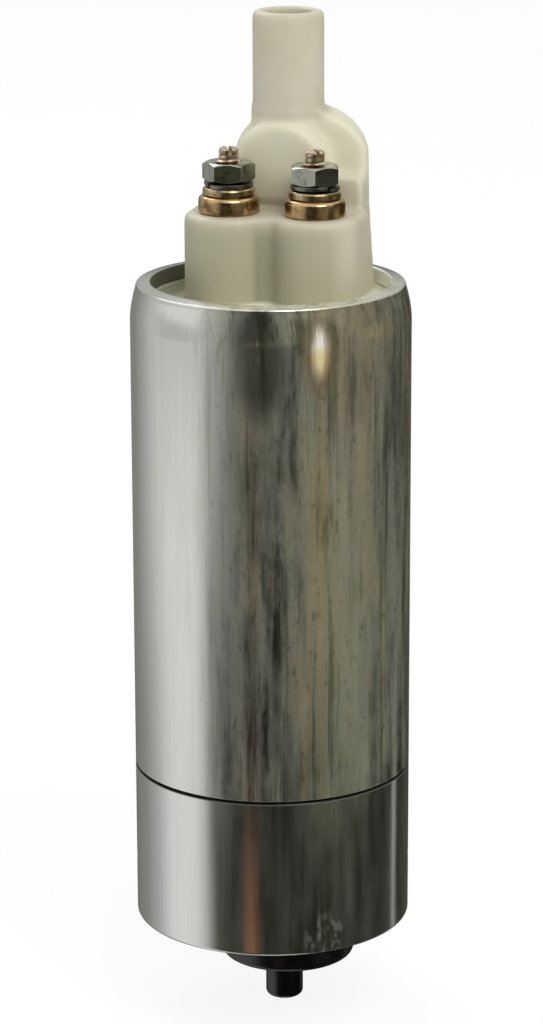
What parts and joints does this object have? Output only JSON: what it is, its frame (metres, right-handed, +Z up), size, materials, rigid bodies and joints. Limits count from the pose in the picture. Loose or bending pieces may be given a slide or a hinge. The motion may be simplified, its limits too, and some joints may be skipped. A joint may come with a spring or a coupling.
{
  "type": "electric fuel pump",
  "caption": "In-tank electric fuel pump: a drawn metal barrel with a moulded cap that carries two screw terminals and an outlet tube, and a bottom inlet collar with a strainer peg.",
  "frame": {"origin": "on the barrel's axis, halfway up its straight wall, which a clamp grips", "axes": "+Z up along the barrel towards the outlet; the terminals lie along X; the outlet tube stands towards +Y"},
  "size_m": [0.043, 0.043, 0.1561],
  "materials": {
    "can_steel": "drawn and brushed, nickel plated",
    "sleeve_steel": "drawn and brushed, nickel plated",
    "white_plastic": "natural acetal, slightly translucent",
    "black_plastic": "black moulded plastic",
    "stud_brass": "plated thread",
    "collar_brass": "bright turned",
    "washer_brass": "bright pressed",
    "lock_steel": "spring steel",
    "nut_steel": "zinc plated",
    "seal_rubber": "fluorocarbon rubber",
    "gasket": "pressed fibre",
    "plate_metal": "lapped",
    "rotor_steel": "sintered",
    "screw_steel": "black screws",
    "shaft_steel": "ground",
    "core_steel": "stacked laminations",
    "copper_wire": "enamelled copper wire",
    "commutator": "copper segments",
    "bronze": "sintered bronze",
    "magnet": "ferrite",
    "spring_steel": "bright spring wire",
    "carbon": "carbon brush",
    "brown_plastic": "moulded brush holder",
    "lead_wire": "braided copper"
  },
  "bodies": {
    "housing": {"motor_can": "can_steel", "pump_sleeve": "sleeve_steel", "end_cap": "white_plastic", "cap_seal": "seal_rubber", "terminal_studs": "stud_brass", "terminal_collars": "collar_brass", "terminal_washers": "washer_brass", "lock_washers": "lock_steel", "terminal_nuts": "nut_steel", "inlet_cover": "black_plastic", "cover_gasket": "gasket", "inlet_plate": "plate_metal", "rotor_ring": "plate_metal", "outlet_plate": "plate_metal", "pump_screws": "screw_steel", "alignment_pins": "shaft_steel", "lower_bush": "bronze", "upper_bush": "bronze", "magnet_left": "magnet", "magnet_right": "magnet", "magnet_clips": "spring_steel", "brush_holder": "brown_plastic", "brush_spring_left": "spring_steel", "brush_spring_right": "spring_steel", "brush_lead_left": "lead_wire", "brush_lead_right": "lead_wire", "check_spring": "spring_steel", "valve_retainer": "white_plastic", "relief_seat": "collar_brass", "relief_spring": "spring_steel"},
    "armature": {"armature_shaft": "shaft_steel", "armature_core": "core_steel", "armature_windings": "copper_wire", "commutator": "commutator", "thrust_washers": "shaft_steel", "inner_rotor": "rotor_steel"},
    "outer_rotor": {"outer_rotor": "rotor_steel"},
    "brush_left": {"brush_left": "carbon"},
    "brush_right": {"brush_right": "carbon"},
    "check_valve": {"check_valve": "black_plastic"},
    "relief_ball": {"relief_ball": "shaft_steel"}
  },
  "joints": [
    {"name": "armature_spin", "type": "hinge", "parent": "housing", "child": "armature", "pos_m": [0, 0, 0], "axis": [0, 0, 1], "continuous": true},
    {"name": "outer_rotor_spin", "type": "hinge", "parent": "housing", "child": "outer_rotor", "pos_m": [-0.0008, 0, -0.0368], "axis": [0, 0, 1], "continuous": true},
    {"name": "check_valve_lift", "type": "slide", "parent": "housing", "child": "check_valve", "axis": [0, 0, 1], "range_m": [0, 0.0025], "stiffness_N_per_m": 150, "springref_m": -0.003, "deforming": ["check_spring"]},
    {"name": "relief_ball_lift", "type": "slide", "parent": "housing", "child": "relief_ball", "axis": [0, 0, 1], "range_m": [0, 0.0015], "stiffness_N_per_m": 800, "springref_m": -0.004, "deforming": ["relief_spring"]},
    {"name": "brush_left_slide", "type": "slide", "parent": "housing", "child": "brush_left", "axis": [0, 0, 1], "range_m": [0, 0.0025], "stiffness_N_per_m": 250, "springref_m": -0.004, "deforming": ["brush_spring_left", "brush_lead_left"]},
    {"name": "brush_right_slide", "type": "slide", "parent": "housing", "child": "brush_right", "axis": [0, 0, 1], "range_m": [0, 0.0025], "stiffness_N_per_m": 250, "springref_m": -0.004, "deforming": ["brush_spring_right", "brush_lead_right"]}
  ],
  "couplings": [
    {"joint": "outer_rotor_spin", "follows": "armature_spin", "ratio": 0.85714}
  ]
}
